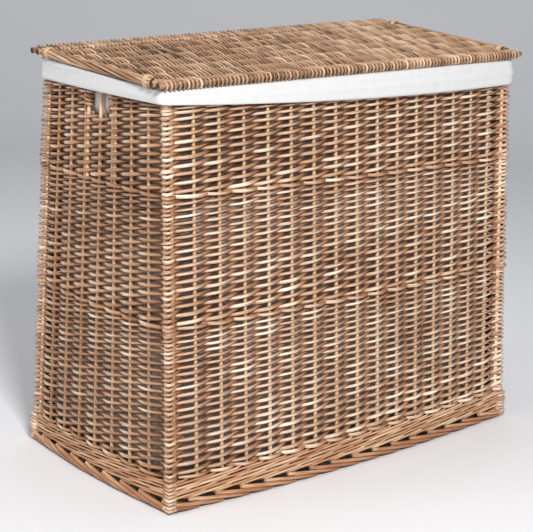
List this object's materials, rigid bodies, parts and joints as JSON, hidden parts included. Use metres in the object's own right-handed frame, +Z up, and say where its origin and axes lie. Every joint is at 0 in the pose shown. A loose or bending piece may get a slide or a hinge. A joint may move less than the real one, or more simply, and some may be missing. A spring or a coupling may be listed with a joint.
{
  "type": "laundry basket",
  "caption": "Rectangular woven willow laundry hamper with banded walls, a hinged woven lid, a hand hole in each end and a cotton liner turned over the rim.",
  "frame": {"origin": "middle of the foot, on the floor", "axes": "+X along the long side, +Y towards the hinged back, +Z up"},
  "size_m": [0.7032, 0.3974, 0.6],
  "materials": {
    "willow_weave": "stained willow rods, satin, mid brown with pale highlights",
    "willow_foot": "stained willow rods, satin, slightly redder, pale cut ends",
    "willow_stake": "stained willow uprights and sticks, satin, light brown",
    "willow_lid": "stained willow rods, satin, tan brown",
    "willow_binding": "pale split willow, satin",
    "cotton": "plain woven white cotton, matt, lightly creased"
  },
  "bodies": {
    "basket": {"foot_border": "willow_foot", "upsett_wale": "willow_foot", "lower_siding": "willow_weave", "middle_siding": "willow_weave", "upper_siding": "willow_weave", "base_weave": "willow_weave", "front_stakes_and_rim": "willow_stake", "back_stakes_and_rim": "willow_stake", "left_stakes_and_rim": "willow_stake", "right_stakes_and_rim": "willow_stake", "corner_post_front_left": "willow_stake", "corner_post_front_right": "willow_stake", "corner_post_back_left": "willow_stake", "corner_post_back_right": "willow_stake", "handle_stake_left_front": "willow_stake", "handle_stake_left_back": "willow_stake", "handle_stake_right_front": "willow_stake", "handle_stake_right_back": "willow_stake", "base_stick_1": "willow_stake", "base_stick_2": "willow_stake", "base_stick_3": "willow_stake", "base_stick_4": "willow_stake", "base_stick_5": "willow_stake", "base_stick_6": "willow_stake", "base_stick_7": "willow_stake", "base_stick_8": "willow_stake", "hinge_loop_left": "willow_binding", "hinge_loop_right": "willow_binding", "liner": "cotton"},
    "lid": {"lid_weave": "willow_lid", "lid_edge_stick_front_outer": "willow_stake", "lid_edge_stick_front_inner": "willow_stake", "lid_edge_stick_back_inner": "willow_stake", "lid_edge_stick_back_outer": "willow_stake", "lid_stick_1": "willow_stake", "lid_stick_2": "willow_stake", "lid_stick_3": "willow_stake", "lid_stick_4": "willow_stake", "lid_stick_5": "willow_stake", "lid_stick_6": "willow_stake", "lid_bind_front_left": "willow_binding", "lid_bind_front_right": "willow_binding", "lid_bind_back_left": "willow_binding", "lid_bind_back_right": "willow_binding"}
  },
  "joints": [
    {"name": "lid_hinge", "type": "hinge", "parent": "basket", "child": "lid", "pos_m": [0, 0.152, 0.593], "axis": [-1, 0, 0], "range_deg": [0, 105]}
  ]
}
